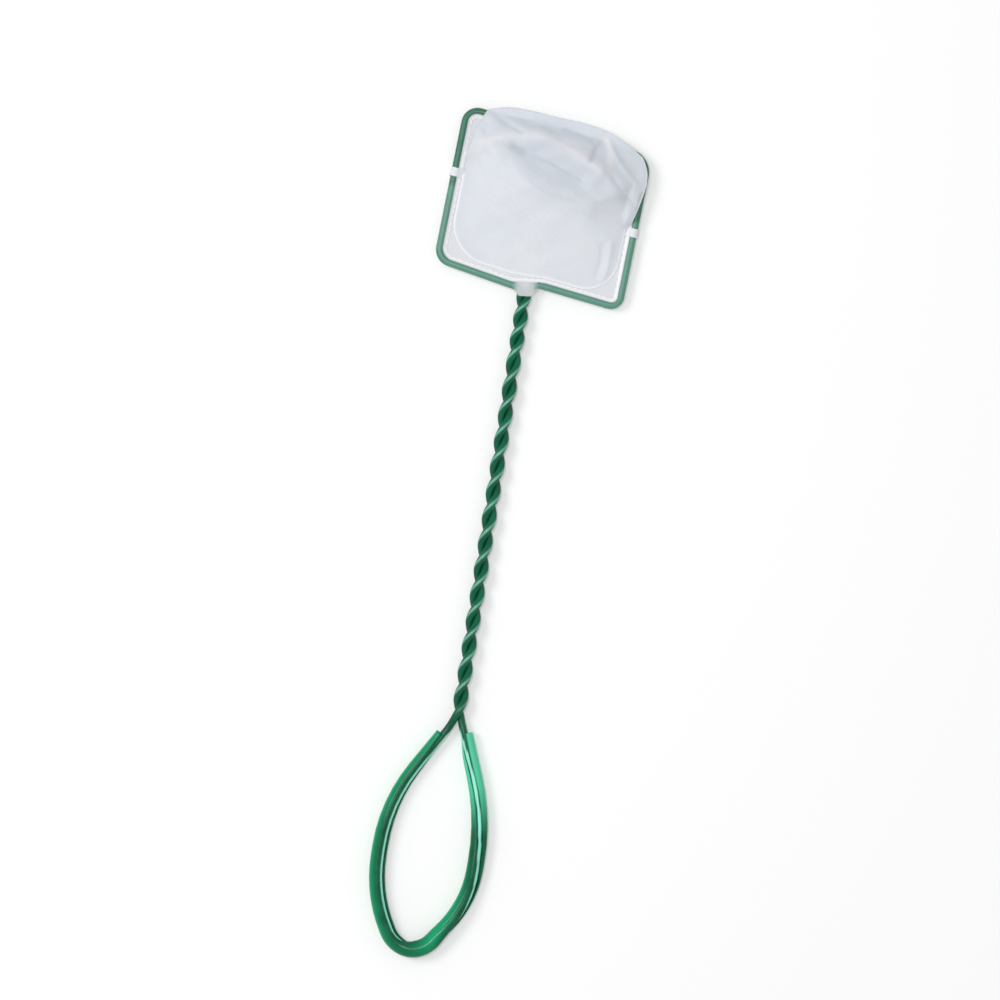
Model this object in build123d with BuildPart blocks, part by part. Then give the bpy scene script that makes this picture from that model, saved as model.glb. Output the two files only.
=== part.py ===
"""Aquarium fish net: a coated wire bent to a frame, twisted to a handle and looped to hang.

The net lies flat with its bag on top. Y runs along the handle to the frame, Z is up, and the
origin is under the middle of the net, on the surface that it lies on.
"""

import os
from math import asin, atan2, ceil, cos, degrees, exp, hypot, pi, radians, sin, sqrt, tan

from build123d import *

# Driving dimensions, in millimetres and degrees
WIRE_DIAMETER = 3.0  # over the coat
CORE_DIAMETER = 1.9
CORE_CLEARANCE = 0.03
STRAND_GAP = 0.26  # between the two strands of the handle
END_GAP = 1.0  # between the two ends of the wire, inside the grip sleeve

FRAME_WIDTH = 75.0  # between the middles of the side bars
FRAME_REACH = 61.3  # from the near bar to the far bar
FRAME_CANT = 4.45  # the frame is turned this far from square to the handle
FRAME_RACK = 3.9  # and its corners are this far from square
FRAME_SHIFT = 0.8  # of its middle, to the right of the handle
NEAR_LEFT_RADIUS = 5.5
FAR_LEFT_RADIUS = 5.0
FAR_RIGHT_RADIUS = 8.0
NEAR_RIGHT_RADIUS = 4.0
NECK_RADIUS = 4.2
NECK_LEFT_DROP = 2.3  # the left strand turns this far below the frame's middle line
NECK_RIGHT_RISE = 0.6  # the right strand turns this far above it

TWIST_DROP = 6.8  # from the frame's middle line to the top of the twist
TWIST_PITCH = 20.8
TWIST_TURNS = 7.875  # the strands last cross an eighth of a turn before the end
TWIST_LEAD_IN = 10.0  # where the strands start to wind round each other

LOOP_WIDTH = 38.6
LOOP_SHIFT = -2.9  # of its middle, from the handle's line
LEG_DROP = 38.5  # from the end of the twist to the loop's shoulders
SIDE_DROP = 36.5  # from its shoulders to its hips
CROWN_DROP = 27.2  # from its hips to its crown's corner
CROWN_SHIFT = -5.8  # of the crown, from the handle's line
BEND_SHARE = 0.48  # of the shorter run beside it, that a bend of the loop takes up
CROWN_BEND_SHARE = 0.49
KNEE_SHARE = 0.8  # of the run from the twist to where a leg turns level

SLEEVE_DIAMETER = 6.9
SLEEVE_CLEARANCE = 0.18
SLEEVE_SETBACK = 10.0  # of the sleeve's ends, along the wire from the end of the twist
SLEEVE_STEP = 3.0  # between the sections that shape it
SLIT_WIDTH = 1.6
SLIT_TURN = 360.0  # of the slit, round the wire on its way past the crown
SLIT_TURN_SHARE = 0.4  # of the sleeve's length that this turn takes
MOUTH_LENGTH = 12.0  # of the stretch where the slit opens at each end
MOUTH_ANGLE = 62.0  # half the opening there
MOUTH_LEAN = 52.0  # of that opening, from straight up towards the inside of the loop

HEM_CLEARANCE = 0.06
HEM_WALL = 0.25
HEM_WIDTH = 4.0  # from the wire's middle to the hem's sewn edge
HEM_PLY = 0.4  # the two plies that are sewn together there
HEM_CORNER_RADIUS = 14.0
FLAP_TOP_WIDTH = 14.2
FLAP_BOTTOM_WIDTH = 10.4
FLAP_SHIFT = 0.9
FLAP_DROP = 5.6

SEAM_PLACE = 0.53  # of the side seams, along the side bars
SEAM_WIDTH = 3.2
SEAM_WALL = 0.5

BAG_PLY = 0.4
BAG_LAP = 0.8  # of the bag's rim on the sewn edge of the hem
BAG_CLEARANCE = 0.15
BAG_HEIGHT = 11.0  # of the near panel's crown over the wire's middle
BAG_OVERHANG = 7.2  # past the middle of the far bar
BAG_END_INSET = 7.5  # of the bag's sides from the side bars, at its end
BAG_END_RADIUS = 8.0
CROWN_PLACE = 47.8  # of the near panel's crown, from the near bar
RIM_LEAVES = 41.7  # from the near bar to where its rim leaves the hem to pass over the far bar
RIM_CLIMB = 12.3  # from there to where it has risen clear
PILLOW_POWER = 3.0  # the higher, the flatter the panel's top and the steeper its sides
FOLD_MARGIN = 7.0  # along the panel's edges, in which its folds die out
PANEL_STEPS = 9  # between the arches that shape the panel
CORNER_STEPS = 3  # and round each of its corners
FAR_PANEL_WIDTH = 46.0
FOLD_PLACE = 31.0  # of the far panel's inner fold, from the near bar
FOLD_GAP = 1.6  # between its two layers

# The near panel's main folds: height, width, and where each starts and ends across and along
# the frame. A height under 0 is a valley.
BAG_FOLDS = (
    (1.6, 4.5, (-31.0, 47.0), (-6.0, 58.0)),
    (1.6, 4.5, (-6.0, 58.0), (20.0, 51.0)),
    (-2.4, 4.5, (-16.0, 50.0), (12.0, 45.0)),
    (1.6, 4.5, (-7.0, 38.0), (18.0, 36.0)),
    (1.6, 4.5, (18.0, 36.0), (29.0, 46.0)),
)

# Sides of the round sections, which are few because the wire is long and wound
COAT_SIDES = 8
CORE_SIDES = 4
HEM_SIDES = 8
SLEEVE_SIDES = 8
ARCH_SIDES = 12

# For the check of the gap between the strands
CHECK_COUNT = 800  # of points along each strand
CHECK_NEIGHBOURS = 12  # of the other strand's points to each side that it looks at

# Worked-out sizes
WIRE_RADIUS = WIRE_DIAMETER / 2
STRAND_RADIUS = (WIRE_DIAMETER + STRAND_GAP) / 2
HEM_BORE = WIRE_RADIUS + HEM_CLEARANCE
HEM_RADIUS = HEM_BORE + HEM_WALL
SLEEVE_RADIUS = SLEEVE_DIAMETER / 2
SLEEVE_BORE = WIRE_RADIUS + SLEEVE_CLEARANCE
CORE_CORNER = CORE_DIAMETER / 2 * sqrt(2 * pi / CORE_SIDES / sin(2 * pi / CORE_SIDES))
BORE_CORNER = CORE_CORNER + CORE_CLEARANCE / cos(pi / CORE_SIDES)
TWIST_RATE = 2 * pi / TWIST_PITCH
TWIST_END_Y = -TWIST_DROP - TWIST_LEAD_IN / 2 - TWIST_TURNS * TWIST_PITCH

# The loop's corners, measured from the neck
LOOP_LEFT = LOOP_SHIFT - LOOP_WIDTH / 2
LOOP_RIGHT = LOOP_SHIFT + LOOP_WIDTH / 2
SHOULDER_Y = TWIST_END_Y - LEG_DROP
HIP_Y = SHOULDER_Y - SIDE_DROP
CROWN_Y = HIP_Y - CROWN_DROP
LEFT_SLOPE = atan2(CROWN_SHIFT - LOOP_LEFT, CROWN_DROP)
RIGHT_SLOPE = atan2(LOOP_RIGHT - CROWN_SHIFT, CROWN_DROP)

# How far from its corner each bend of the loop starts
LOWER_RUN = CROWN_DROP / cos(min(LEFT_SLOPE, RIGHT_SLOPE))
SHOULDER_BEND = BEND_SHARE * SIDE_DROP
HIP_BEND = BEND_SHARE * min(SIDE_DROP, LOWER_RUN)
CROWN_BEND = CROWN_BEND_SHARE * LOWER_RUN
CROWN_HALF_ANGLE = (LEFT_SLOPE + RIGHT_SLOPE) / 2
CROWN_RADIUS = CROWN_BEND * tan(CROWN_HALF_ANGLE)


def heading(angle):
    """The level direction at an angle from X."""
    return Vector(cos(radians(angle)), sin(radians(angle)), 0)


# The frame's two directions and its corners, measured from the neck
ACROSS = heading(-FRAME_CANT - FRAME_RACK / 2)
ALONG = heading(90 - FRAME_CANT + FRAME_RACK / 2)


def frame_point(across, along):
    """A point of the frame's plane, from the middle of the near bar."""
    return Vector(FRAME_SHIFT, 0, 0) + ACROSS * across + ALONG * along


NEAR_LEFT = frame_point(-FRAME_WIDTH / 2, 0)
NEAR_RIGHT = frame_point(FRAME_WIDTH / 2, 0)
FAR_LEFT = frame_point(-FRAME_WIDTH / 2, FRAME_REACH)
FAR_RIGHT = frame_point(FRAME_WIDTH / 2, FRAME_REACH)

# The neck's place, which puts the origin under the middle of the whole net
BAG_END_LEFT = -FRAME_WIDTH / 2 + BAG_END_INSET + BAG_END_RADIUS
BAG_END_Y = frame_point(BAG_END_LEFT, FRAME_REACH + BAG_OVERHANG).Y
CROWN_MIDDLE = CROWN_RADIUS / sin(CROWN_HALF_ANGLE) * cos((RIGHT_SLOPE - LEFT_SLOPE) / 2)
LOOP_END_Y = CROWN_Y + CROWN_MIDDLE - CROWN_RADIUS - SLEEVE_RADIUS
NECK = Vector(-(NEAR_LEFT.X + FAR_RIGHT.X) / 2, -(BAG_END_Y + LOOP_END_Y) / 2, SLEEVE_RADIUS)


def bend_radius(before, corner, after, reach):
    """The radius of an arc that rounds a corner, from a reach before it to a reach past it."""
    turn = (corner - before).get_angle(after - corner)
    return reach / tan(radians(turn) / 2)


def twist_point(side, turn):
    """A strand's middle, and its direction down the handle, after a turn in radians."""
    if turn < TWIST_RATE * TWIST_LEAD_IN / 2:
        down = sqrt(2 * TWIST_LEAD_IN * turn / TWIST_RATE)
        rate = TWIST_RATE * down / TWIST_LEAD_IN
    else:
        down = turn / TWIST_RATE + TWIST_LEAD_IN / 2
        rate = TWIST_RATE
    reach = side * STRAND_RADIUS
    middle = Vector(reach * cos(turn), -TWIST_DROP - down, reach * sin(turn))
    way = Vector(-reach * rate * sin(turn), -1, reach * rate * cos(turn))
    return NECK + middle, way.normalized()


def biarc(start, start_way, end, end_way):
    """Two arcs that leave start along start_way and come to end along end_way."""
    span = end - start
    pull = span.dot(start_way + end_way)
    part = 2 * (1 - start_way.dot(end_way)) * span.dot(span)
    reach = span.dot(span) / (pull + sqrt(pull * pull + part))
    joint = (start + end + (start_way - end_way) * reach) / 2
    chord = (joint - start).normalized()
    joint_way = chord * (2 * chord.dot(start_way)) - start_way
    TangentArc(start, joint, tangent=start_way)
    TangentArc(joint, end, tangent=joint_way)


def strand_line(side):
    """One strand of the twist, from the neck to the loop, in quarter turns."""
    turns = [pi / 2 * quarter for quarter in range(ceil(4 * TWIST_TURNS))]
    turns.append(2 * pi * TWIST_TURNS)
    stations = [twist_point(side, turn) for turn in turns]
    with BuildLine() as line:
        for (start, start_way), (end, end_way) in zip(stations, stations[1:]):
            biarc(start, start_way, end, end_way)
    return line.wire()


def frame_line():
    """The wire round the frame, from the top of one strand to the top of the other."""
    left_top = NECK + Vector(-STRAND_RADIUS, -TWIST_DROP, 0)
    left_turn = NECK + Vector(-STRAND_RADIUS, -NECK_LEFT_DROP, 0)
    right_turn = NECK + Vector(STRAND_RADIUS, NECK_RIGHT_RISE, 0)
    right_top = NECK + Vector(STRAND_RADIUS, -TWIST_DROP, 0)
    corners = [NECK + corner for corner in (NEAR_LEFT, FAR_LEFT, FAR_RIGHT, NEAR_RIGHT)]
    radii = [NECK_RADIUS, NEAR_LEFT_RADIUS, FAR_LEFT_RADIUS]
    radii += [FAR_RIGHT_RADIUS, NEAR_RIGHT_RADIUS, NECK_RADIUS]
    with BuildLine() as line:
        FilletPolyline(left_top, left_turn, *corners, right_turn, right_top, radius=radii)
    return line.wire()


def leg_start(side):
    """The end of a strand of the twist, and where it comes straight on to the wire's plane."""
    end, way = twist_point(side, 2 * pi * TWIST_TURNS)
    return end, end + way * ((NECK.Z - end.Z) / way.Z)


def loop_line():
    """The wire's middle round the hanging loop, from one strand of the twist to the other."""
    left_end, left_knee = leg_start(-1)
    right_end, right_knee = leg_start(1)
    knee_bend = KNEE_SHARE * (left_knee - left_end).length
    points = [left_end, left_knee]
    points += [NECK + Vector(LOOP_LEFT, SHOULDER_Y, 0), NECK + Vector(LOOP_LEFT, HIP_Y, 0)]
    points += [NECK + Vector(CROWN_SHIFT, CROWN_Y, 0)]
    points += [NECK + Vector(LOOP_RIGHT, HIP_Y, 0), NECK + Vector(LOOP_RIGHT, SHOULDER_Y, 0)]
    points += [right_knee, right_end]
    reaches = [knee_bend, SHOULDER_BEND, HIP_BEND, CROWN_BEND, HIP_BEND, SHOULDER_BEND, knee_bend]
    corners = zip(points, points[1:], points[2:], reaches)
    radii = [bend_radius(*corner) for corner in corners]
    with BuildLine() as line:
        FilletPolyline(*points, radius=radii)
    return line.wire()


FRAME_LINE = frame_line()
LOOP_LINE = loop_line()
LEFT_STRAND = strand_line(-1)
RIGHT_STRAND = strand_line(1)
END_SHARE = END_GAP / 2 / LOOP_LINE.length
LEFT_LEG = LOOP_LINE.trim(0, 0.5 - END_SHARE)
RIGHT_LEG = LOOP_LINE.trim(0.5 + END_SHARE, 1)
WIRE_RUNS = [LEFT_LEG, LEFT_STRAND, FRAME_LINE, RIGHT_STRAND, RIGHT_LEG]
WIRE_LINE = Wire([edge for run in WIRE_RUNS for edge in run.edges()])


def print_strand_gap():
    """Measures the least gap between the strands on points, as a check of the twist."""
    left = [LEFT_STRAND @ (step / CHECK_COUNT) for step in range(CHECK_COUNT + 1)]
    right = [RIGHT_STRAND @ (step / CHECK_COUNT) for step in range(CHECK_COUNT + 1)]
    apart = []
    for place, point in enumerate(left):
        beside = right[max(0, place - CHECK_NEIGHBOURS) : place + CHECK_NEIGHBOURS + 1]
        apart.append(min((point - other).length for other in beside))
    print(f"least gap between the strands: {min(apart) - WIRE_DIAMETER:.3f} mm")


print_strand_gap()
os.makedirs("parts", exist_ok=True)


def wire_bar(corner, sides):
    """A bar along the whole wire, of a few-sided section."""
    with BuildSketch(Plane(WIRE_LINE @ 0, z_dir=WIRE_LINE % 0)) as section:
        RegularPolygon(corner, sides)
    return Solid.sweep(section.sketch.face(), WIRE_LINE)


def skin_and_ends(bar):
    """The faces along a bar of the wire, and the faces on its two ends."""
    faces = bar.faces()
    places = [WIRE_LINE @ 0, WIRE_LINE @ 1]
    ends = [min(faces, key=lambda face: (face.center() - place).length) for place in places]
    return [face for face in faces if face not in ends], ends


# The steel core of the wire
wire_core = wire_bar(CORE_CORNER, CORE_SIDES)
wire_core.label = "wire_core"
export_step(wire_core, "parts/wire_core.step")

# The coat on the wire: the skins of its outside and its bore, joined by a ring at each end
outside_skin, outside_ends = skin_and_ends(wire_bar(WIRE_RADIUS, COAT_SIDES))
bore_skin, bore_ends = skin_and_ends(wire_bar(BORE_CORNER, CORE_SIDES))
end_pairs = zip(outside_ends, bore_ends)
rings = [Face(end.outer_wire(), [hole.outer_wire()]) for end, hole in end_pairs]
wire_coating = Solid(Shell(outside_skin + bore_skin + rings))
wire_coating.label = "wire_coating"
export_step(wire_coating, "parts/wire_coating.step")


def smooth(share):
    """A smooth rise from 0 to 1."""
    held = min(1.0, max(0.0, share))
    return held * held * (3 - 2 * held)


def sleeve_section(length):
    """The slit ring of the grip sleeve, square to the wire at a length along the loop."""
    share = length / LOOP_LINE.length
    way = LOOP_LINE % share
    end = min(length, LOOP_LINE.length - length) - SLEEVE_SETBACK
    mouth = 1 - smooth(end / MOUTH_LENGTH)
    turn = SLIT_TURN * smooth((share - 0.5) / SLIT_TURN_SHARE + 0.5)
    slit = degrees(asin(SLIT_WIDTH / SLEEVE_DIAMETER))
    half = slit + (MOUTH_ANGLE - slit) * mouth
    middle = 90 - turn - MOUTH_LEAN * mouth
    plane = Plane(LOOP_LINE @ share, x_dir=Vector(0, 0, 1).cross(way), z_dir=way)
    side = (360 - 2 * half) / SLEEVE_SIDES
    bore_corner = SLEEVE_BORE / cos(radians(side / 2))
    ways = [heading(middle + half + side * corner) for corner in range(SLEEVE_SIDES + 1)]
    outside = [way * SLEEVE_RADIUS for way in ways]
    inside = [way * bore_corner for way in reversed(ways)]
    with BuildSketch(plane) as section:
        with BuildLine():
            Polyline(*outside, *inside, close=True)
        make_face()
    return section.sketch


# The slit grip sleeve on the hanging loop
SLEEVE_LENGTH = LOOP_LINE.length - 2 * SLEEVE_SETBACK
SLEEVE_STEPS = round(SLEEVE_LENGTH / SLEEVE_STEP)
SLEEVE_SHARES = [step / SLEEVE_STEPS for step in range(SLEEVE_STEPS + 1)]
SLEEVE_PLACES = [SLEEVE_SETBACK + SLEEVE_LENGTH * share for share in SLEEVE_SHARES]
with BuildPart() as grip_sleeve:
    loft([sleeve_section(place) for place in SLEEVE_PLACES], ruled=True)
grip_sleeve.part.label = "grip_sleeve"
export_step(grip_sleeve.part, "parts/grip_sleeve.step")

# Directions and heights that the hem and the bag share
FAR_WAY = Vector(0, 0, 1).cross(ACROSS)
BAG_REST = HEM_PLY / 2 + BAG_CLEARANCE
FOLD_TOP = BAG_REST + 2 * BAG_PLY + FOLD_GAP
BAG_OVER = FOLD_TOP + BAG_CLEARANCE


def seam_plane(offset):
    """The upright plane across the frame at the side seams, facing the far bar."""
    origin = NECK + frame_point(0, FRAME_REACH * SEAM_PLACE + offset)
    return Plane(origin, x_dir=ACROSS, z_dir=FAR_WAY)


def tube(line, radius, mode=Mode.ADD):
    """A bar along a line, of a radius across its flats."""
    with BuildSketch(Plane(line @ 0, z_dir=line % 0)) as section:
        RegularPolygon(radius, HEM_SIDES, major_radius=False)
    sweep(section.sketch, path=line, mode=mode)


def level_face(points, height, radii=0):
    """A level face through points, at a height over the wire's middle, with rounded corners."""
    with BuildSketch(Plane.XY.offset(NECK.Z + height)) as face:
        with BuildLine():
            FilletPolyline(*[(point.X, point.Y) for point in points], radius=radii, close=True)
        make_face()
    return face.sketch


def mouth_corners(inset):
    """The four corners of the frame, inset from the middle of its bars."""
    half = FRAME_WIDTH / 2 - inset
    near, far = inset, FRAME_REACH - inset
    corners = [(-half, near), (-half, far), (half, far), (half, near)]
    return [NECK + frame_point(*corner) for corner in corners]


def flap_corners(wall, top, bottom):
    """The flap's corners at the neck, inset by a wall from its slanting sides."""
    half_top = FLAP_TOP_WIDTH / 2 - wall
    half_bottom = FLAP_BOTTOM_WIDTH / 2 - wall
    corners = [(-half_top, top), (-half_bottom, bottom), (half_bottom, bottom), (half_top, top)]
    return [NECK + Vector(FLAP_SHIFT + across, along, 0) for across, along in corners]


def hem_body():
    """The whole hem: a casing round the frame wire, its sewn edge and the flap at the neck."""
    tube(Wire(FRAME_LINE.order_edges()[2:-2]), HEM_RADIUS)
    radii = [NEAR_LEFT_RADIUS, FAR_LEFT_RADIUS, FAR_RIGHT_RADIUS, NEAR_RIGHT_RADIUS]
    extrude(level_face(mouth_corners(0), -HEM_PLY / 2, radii), amount=HEM_PLY)
    mouth = level_face(mouth_corners(HEM_WIDTH), -HEM_PLY / 2, HEM_CORNER_RADIUS)
    extrude(mouth, amount=HEM_PLY, mode=Mode.SUBTRACT)
    flap = level_face(flap_corners(0, HEM_WIDTH / 2, -FLAP_DROP), -HEM_RADIUS)
    extrude(flap, amount=2 * HEM_RADIUS)
    pocket = level_face(flap_corners(HEM_WALL, 0, -FLAP_DROP - HEM_WALL), -HEM_BORE)
    extrude(pocket, amount=2 * HEM_BORE, mode=Mode.SUBTRACT)
    tube(FRAME_LINE, HEM_BORE, mode=Mode.SUBTRACT)


# The hem's neck half and far half
with BuildPart() as hem_near:
    hem_body()
    split(bisect_by=seam_plane(-SEAM_WIDTH / 2), keep=Keep.BOTTOM)
hem_near.part.label = "hem_near"
export_step(hem_near.part, "parts/hem_near.step")

with BuildPart() as hem_far:
    hem_body()
    split(bisect_by=seam_plane(SEAM_WIDTH / 2), keep=Keep.TOP)
hem_far.part.label = "hem_far"
export_step(hem_far.part, "parts/hem_far.step")


def seam_body(side):
    """The end of a side seam, wrapped round the side bar and sewn to the hem's edge."""
    bar_middle = FRAME_REACH * SEAM_PLACE
    bar = Edge.make_line(
        NECK + frame_point(side * FRAME_WIDTH / 2, bar_middle - SEAM_WIDTH),
        NECK + frame_point(side * FRAME_WIDTH / 2, bar_middle + SEAM_WIDTH),
    )
    tube(bar, HEM_BORE + SEAM_WALL)
    inner = side * (FRAME_WIDTH / 2 - HEM_WIDTH)
    corners = [(side * FRAME_WIDTH / 2, -SEAM_WIDTH), (inner, -SEAM_WIDTH)]
    corners += [(inner, SEAM_WIDTH), (side * FRAME_WIDTH / 2, SEAM_WIDTH)]
    points = [NECK + frame_point(across, bar_middle + along) for across, along in corners]
    extrude(level_face(points, -HEM_PLY / 2), amount=HEM_PLY)
    tube(bar, HEM_BORE, mode=Mode.SUBTRACT)
    split(bisect_by=seam_plane(-SEAM_WIDTH / 2), keep=Keep.TOP)
    split(bisect_by=seam_plane(SEAM_WIDTH / 2), keep=Keep.BOTTOM)


# The ends of the two side seams
with BuildPart() as side_seam_left:
    seam_body(-1)
side_seam_left.part.label = "side_seam_left"
export_step(side_seam_left.part, "parts/side_seam_left.step")

with BuildPart() as side_seam_right:
    seam_body(1)
side_seam_right.part.label = "side_seam_right"
export_step(side_seam_right.part, "parts/side_seam_right.step")


RIM_INSET = HEM_WIDTH - BAG_LAP
RIM_RADIUS = HEM_CORNER_RADIUS + BAG_LAP
PANEL_END = FRAME_REACH + BAG_OVERHANG


def round_off(radius, reach):
    """How far a rounded corner draws in, at a reach into it."""
    inside = min(radius, max(0, reach))
    return radius - sqrt(radius * radius - inside * inside)


def fold_distance(across, along, start, end):
    """How far a place of the frame's plane lies from a fold."""
    run_across, run_along = end[0] - start[0], end[1] - start[1]
    from_across, from_along = across - start[0], along - start[1]
    share = (from_across * run_across + from_along * run_along) / hypot(run_across, run_along) ** 2
    held = min(1.0, max(0.0, share))
    return hypot(from_across - held * run_across, from_along - held * run_along)


def panel_height(across, along, half, rim):
    """The near panel's height over the wire: a pillow from its rim, with the main folds."""
    rise = smooth(along / CROWN_PLACE)
    fall = smooth((PANEL_END - along) / (PANEL_END - CROWN_PLACE))
    pillow = 1 - abs(across / half) ** PILLOW_POWER
    folds = 0
    for height, width, start, end in BAG_FOLDS:
        folds += height * exp(-((fold_distance(across, along, start, end) / width) ** 2))
    edge = min(half - abs(across), along - RIM_INSET, PANEL_END - along)
    crown = BAG_PLY + (BAG_HEIGHT - 2 * BAG_PLY - rim) * rise * fall
    return rim + crown * pillow + folds * smooth(edge / FOLD_MARGIN)


def panel_arch(along):
    """The near panel's section at a distance from the near bar."""
    rim = BAG_REST + (BAG_OVER - BAG_REST) * smooth((along - RIM_LEAVES) / RIM_CLIMB)
    narrowing = smooth((along - RIM_LEAVES) / (PANEL_END - RIM_LEAVES))
    inset = RIM_INSET + (BAG_END_INSET - RIM_INSET) * narrowing
    inset += round_off(RIM_RADIUS, RIM_RADIUS + RIM_INSET - along)
    inset += round_off(BAG_END_RADIUS, BAG_END_RADIUS + along - PANEL_END)
    half = FRAME_WIDTH / 2 - inset
    places = [half * (2 * step / ARCH_SIDES - 1) for step in range(ARCH_SIDES + 1)]
    under = [(place, panel_height(place, along, half, rim)) for place in places]
    over = [(place, height + BAG_PLY) for place, height in reversed(under)]
    plane = Plane(NECK + frame_point(0, along), x_dir=ACROSS, z_dir=-FAR_WAY)
    with BuildSketch(plane) as section:
        with BuildLine():
            Polyline(*under, *over, close=True)
        make_face()
    return section.sketch


# The panel of the bag that lies on top, from the near hem to past the far bar
STRAIGHT_START = RIM_INSET + RIM_RADIUS
PANEL_STEP = (PANEL_END - BAG_END_RADIUS - STRAIGHT_START) / PANEL_STEPS
CORNER_TURNS = [pi / 2 * step / CORNER_STEPS for step in range(1, CORNER_STEPS + 1)]
ARCH_PLACES = [STRAIGHT_START - RIM_RADIUS * sin(turn) for turn in reversed(CORNER_TURNS)]
ARCH_PLACES += [STRAIGHT_START + PANEL_STEP * step for step in range(PANEL_STEPS + 1)]
ARCH_PLACES += [PANEL_END - BAG_END_RADIUS * (1 - sin(turn)) for turn in CORNER_TURNS]
with BuildPart() as bag_near_panel:
    loft([panel_arch(place) for place in ARCH_PLACES], ruled=True)
bag_near_panel.part.label = "bag_near_panel"
export_step(bag_near_panel.part, "parts/bag_near_panel.step")

# The panel that is sewn to the far hem and lies folded under the other
FOLD_RADIUS = BAG_PLY + FOLD_GAP / 2
FOLD_MIDDLE = (BAG_REST + FOLD_TOP) / 2
FAR_EDGE = FRAME_REACH - RIM_INSET
with BuildPart() as bag_far_panel:
    far_middle = NECK + frame_point(0, FRAME_REACH) - FAR_WAY * FRAME_REACH
    with BuildSketch(Plane(far_middle, x_dir=FAR_WAY, z_dir=ACROSS)):
        with BuildLine():
            low = Line((FAR_EDGE, BAG_REST), (FOLD_PLACE + FOLD_RADIUS, BAG_REST))
            tip = (FOLD_PLACE, FOLD_MIDDLE)
            outside = ThreePointArc(low @ 1, tip, (FOLD_PLACE + FOLD_RADIUS, FOLD_TOP))
            top = Line(outside @ 1, (PANEL_END, FOLD_TOP))
            end = Line(top @ 1, top @ 1 - Vector(0, BAG_PLY))
            back = Line(end @ 1, (FOLD_PLACE + FOLD_RADIUS, FOLD_TOP - BAG_PLY))
            tip_inside = (FOLD_PLACE + BAG_PLY, FOLD_MIDDLE)
            inside = ThreePointArc(back @ 1, tip_inside, low @ 1 + Vector(0, BAG_PLY))
            out = Line(inside @ 1, (FAR_EDGE, BAG_REST + BAG_PLY))
            Line(out @ 1, low @ 0)
        make_face()
    extrude(amount=FAR_PANEL_WIDTH / 2, both=True)
bag_far_panel.part.label = "bag_far_panel"
export_step(bag_far_panel.part, "parts/bag_far_panel.step")
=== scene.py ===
"""Looks of the aquarium fish net: a glossy coated wire, a slit grip sleeve and a folded bag of netting.

Shapes are worked out in millimetres, in the CAD frame, and become metres in make_mesh. Places on the
net's mouth are given across and along its frame, from the middle of its near bar, and up from the wire.
"""

from math import acos, atan2, ceil, cos, degrees, pi, radians, sin, tan

import bpy
import numpy as np
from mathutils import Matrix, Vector


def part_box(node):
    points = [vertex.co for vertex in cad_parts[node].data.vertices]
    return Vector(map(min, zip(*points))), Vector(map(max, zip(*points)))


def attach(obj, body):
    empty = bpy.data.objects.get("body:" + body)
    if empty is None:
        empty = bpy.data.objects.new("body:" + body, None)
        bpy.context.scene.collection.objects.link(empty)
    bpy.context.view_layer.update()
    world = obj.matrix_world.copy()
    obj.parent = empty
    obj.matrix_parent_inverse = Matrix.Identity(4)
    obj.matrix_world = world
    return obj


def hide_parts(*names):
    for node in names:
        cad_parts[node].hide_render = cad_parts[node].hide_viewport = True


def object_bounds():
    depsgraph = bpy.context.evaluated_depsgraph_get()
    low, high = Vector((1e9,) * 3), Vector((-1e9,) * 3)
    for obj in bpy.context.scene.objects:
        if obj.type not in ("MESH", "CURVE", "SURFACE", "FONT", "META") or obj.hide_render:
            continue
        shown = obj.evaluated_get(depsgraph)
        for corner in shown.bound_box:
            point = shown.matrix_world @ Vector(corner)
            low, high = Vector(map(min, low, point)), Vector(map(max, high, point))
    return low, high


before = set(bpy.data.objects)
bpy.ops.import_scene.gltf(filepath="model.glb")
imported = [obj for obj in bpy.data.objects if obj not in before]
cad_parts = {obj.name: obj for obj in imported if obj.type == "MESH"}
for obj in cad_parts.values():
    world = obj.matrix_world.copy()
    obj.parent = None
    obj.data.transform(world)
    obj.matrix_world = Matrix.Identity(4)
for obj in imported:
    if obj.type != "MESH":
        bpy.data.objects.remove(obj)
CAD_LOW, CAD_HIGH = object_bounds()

MM = 0.001

# The wire, in millimetres and degrees
WIRE_RADIUS = 1.5
CORE_RADIUS = 0.95
WIRE_SIDES = 20
CORE_SIDES = 8
WIRE_STEP = 0.7
WIRE_END_GAP = 1.0
ARC_STEP = 5.0
WAY_STEP = 0.5  # to both sides of a place, for the loop's direction there
STRAND_RADIUS = 1.492  # from the handle's middle to the middle of a strand, pressed a little into the other
FRAME_WIDTH = 75.0
FRAME_HALF = FRAME_WIDTH / 2
FRAME_REACH = 61.3
FRAME_SHIFT = 0.8  # of the frame's middle from the handle's
SEAM_ALONG = 0.53 * FRAME_REACH  # of the CAD seam ends
SEAM_PLACES = (35.3, 30.5)  # of the seam ends on the left and right bar
ACROSS_ANGLE = -6.4
ALONG_ANGLE = 87.5
NEAR_RADII = (5.5, 4.0)  # of the frame's corners, left and right, as in the two pairs after it
FAR_RADII = (5.0, 8.0)
NECK_RADII = (2.3, 4.2)
NECK_LEFT_DROP = 2.3
NECK_RIGHT_RISE = 0.6
TWIST_TOP = 4.4  # below the neck, as the two places after it
TIGHT_END = 27.4  # where the closer turns at the top of the twist end
TWIST_END = 175.6
TIGHT_TURNS = 1.25
TWIST_LEAD_IN = 2.0
TWIST_PITCH = 20.8
TOP_TURN = -0.5  # of the strands at the top of the twist, where each goes to the frame's other side
LOOP_LEFT = -22.2
LOOP_RIGHT = 16.4
LEG_DROP = 38.5
SIDE_DROP = 36.5
CROWN_DROP = 27.2
CROWN_SHIFT = -5.8
BEND_SHARE = 0.48
CROWN_BEND_SHARE = 0.49
KNEE_SHARE = 0.8

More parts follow.
